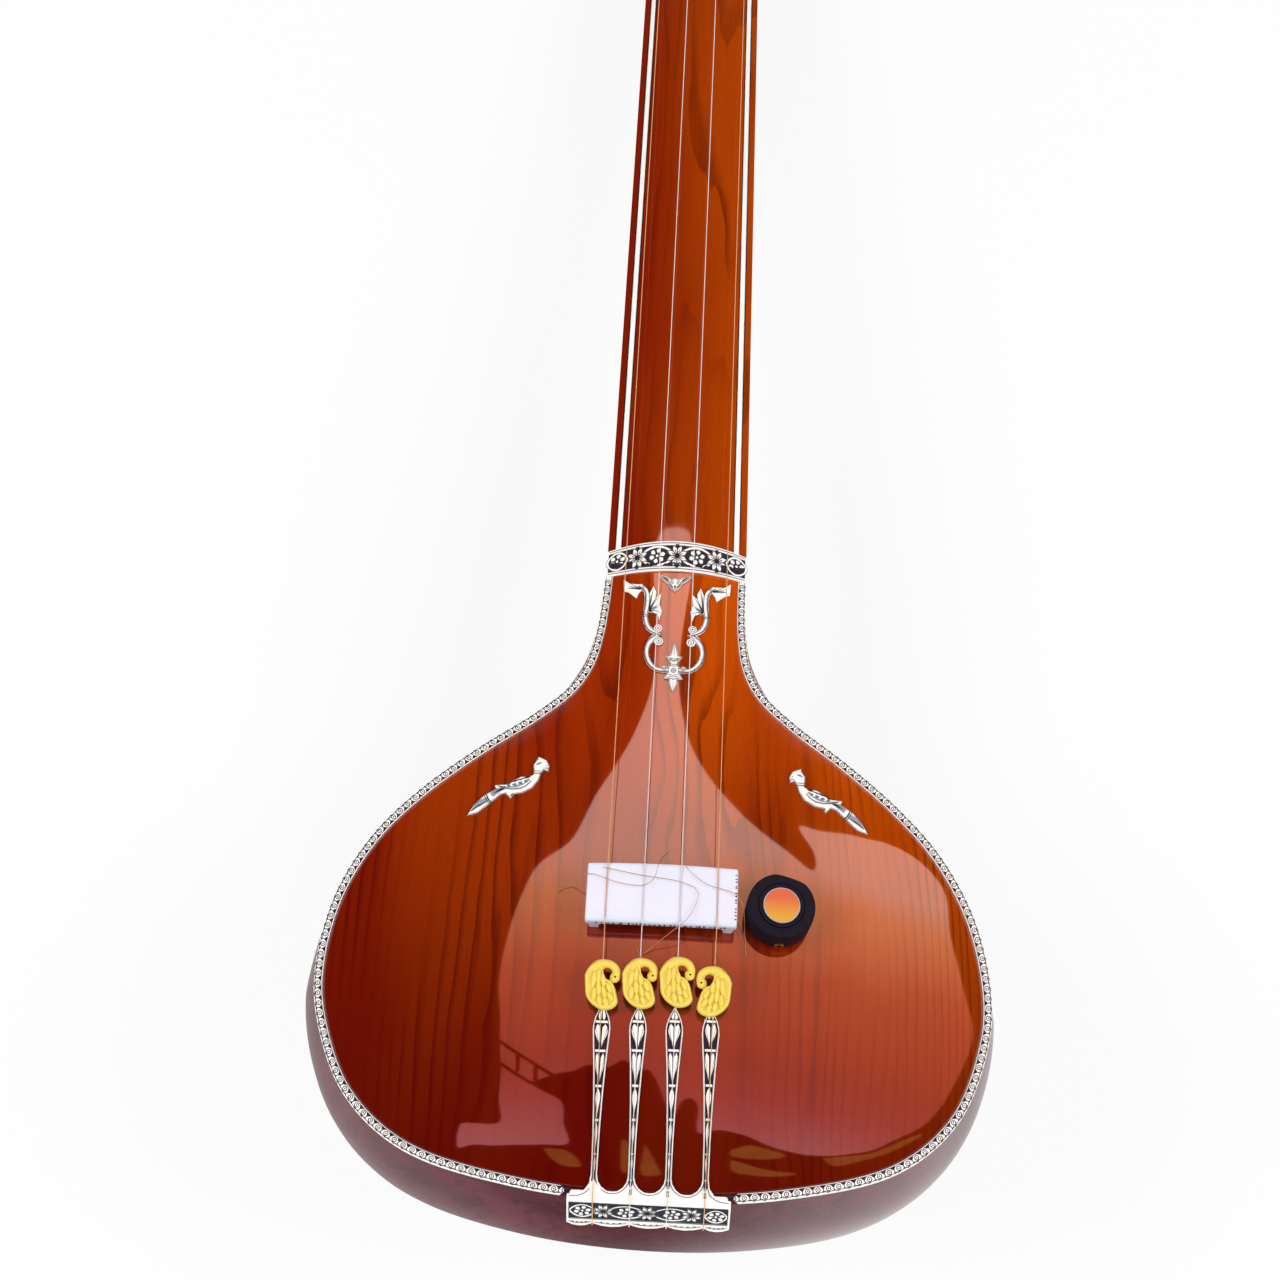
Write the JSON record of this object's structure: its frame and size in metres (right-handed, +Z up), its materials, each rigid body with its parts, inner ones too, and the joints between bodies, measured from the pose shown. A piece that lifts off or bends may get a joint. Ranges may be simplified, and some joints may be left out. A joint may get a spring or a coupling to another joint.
{
  "type": "tanpura",
  "caption": "Long-necked drone lute with a gourd body, a domed soundboard, a flat bridge, swan tuning beads, turned pegs and a contact pickup, lying on its back.",
  "frame": {"origin": "on the floor, in the resting flat under the gourd, on the line midway between the strings", "axes": "+Y towards the head, +X to the right as seen from the front, +Z up off the floor"},
  "size_m": [0.4164, 1.2211, 0.2574],
  "materials": {
    "red_wood": "glossy shellac over dark red-brown wood",
    "board_wood": "glossy shellac over red-orange wood with a straight grain",
    "gourd_skin": "glossy dark purple-brown lacquer on dried gourd",
    "plain_wood": "bare wood inside",
    "bone_white": "polished bone-white sheet with blue-black engraving",
    "bridge_white": "smooth pale lavender-white",
    "steel_wire": "drawn steel wire",
    "bronze_wire": "drawn bronze wire",
    "brass": "polished brass",
    "bead_yellow": "mustard yellow with relief feathers",
    "black_plastic": "matte black",
    "label": "plain disc",
    "foam": "soft adhesive pad",
    "thread": "waxed cotton thread"
  },
  "bodies": {
    "instrument": {"pickup_pad": "foam", "pickup_housing": "black_plastic", "pickup_cap": "black_plastic", "pickup_label": "label", "piezo_disc": "brass", "jack_socket": "brass", "gourd": "gourd_skin", "gulu": "red_wood", "tabli": "board_wood", "rim_binding_left": "bone_white", "rim_binding_right": "bone_white", "neck_block": "plain_wood", "tail_block": "plain_wood", "head_block": "plain_wood", "dandi": "red_wood", "neck_plate": "board_wood", "neck_strip_left": "bone_white", "neck_strip_right": "bone_white", "neck_band": "bone_white", "head_cap": "bone_white", "scroll_ornament": "bone_white", "leaf_ornament": "bone_white", "bird_left": "bone_white", "bird_right": "bone_white", "tail_plate": "bone_white", "hitch_rail": "bone_white", "bridge_plate": "bridge_white", "bridge_base": "bridge_white", "nut": "bone_white", "string_guide": "bone_white", "hitch_pin_1": "brass", "string_1": "bronze_wire", "hitch_pin_2": "brass", "string_2": "steel_wire", "hitch_pin_3": "brass", "string_3": "steel_wire", "hitch_pin_4": "brass", "string_4": "bronze_wire", "jivari_thread_1": "thread", "jivari_thread_2": "thread", "jivari_thread_3": "thread"},
    "peg_1": {"peg_1": "red_wood", "winding_1": "bronze_wire"},
    "peg_2": {"peg_2": "red_wood", "winding_2": "steel_wire"},
    "peg_3": {"peg_3": "red_wood", "winding_3": "steel_wire"},
    "peg_4": {"peg_4": "red_wood", "winding_4": "bronze_wire"},
    "bead_1": {"bead_1": "bead_yellow"},
    "bead_2": {"bead_2": "bead_yellow"},
    "bead_3": {"bead_3": "bead_yellow"},
    "bead_4": {"bead_4": "bead_yellow"}
  },
  "joints": [
    {"name": "peg_1_turn", "type": "hinge", "parent": "instrument", "child": "peg_1", "pos_m": [-0.04144, 0.96205, 0.0559], "axis": [-1, 0, 0], "continuous": true},
    {"name": "peg_2_turn", "type": "hinge", "parent": "instrument", "child": "peg_2", "pos_m": [-0.0171, 0.99071, 0.07052], "axis": [0, 0.1577, 0.9875], "continuous": true},
    {"name": "peg_3_turn", "type": "hinge", "parent": "instrument", "child": "peg_3", "pos_m": [0.0171, 1.03021, 0.06421], "axis": [0, 0.1577, 0.9875], "continuous": true},
    {"name": "peg_4_turn", "type": "hinge", "parent": "instrument", "child": "peg_4", "pos_m": [0.04144, 0.96205, 0.0559], "axis": [1, 0, 0], "continuous": true},
    {"name": "bead_1_slide", "type": "slide", "parent": "instrument", "child": "bead_1", "axis": [-0.0068, 0.9992, 0.0406], "range_m": [-0.006, 0.008]},
    {"name": "bead_2_slide", "type": "slide", "parent": "instrument", "child": "bead_2", "axis": [-0.0023, 0.9992, 0.0406], "range_m": [-0.006, 0.008]},
    {"name": "bead_3_slide", "type": "slide", "parent": "instrument", "child": "bead_3", "axis": [0.0023, 0.9992, 0.0406], "range_m": [-0.006, 0.008]},
    {"name": "bead_4_slide", "type": "slide", "parent": "instrument", "child": "bead_4", "axis": [0.0068, 0.9992, 0.0406], "range_m": [-0.006, 0.008]}
  ]
}
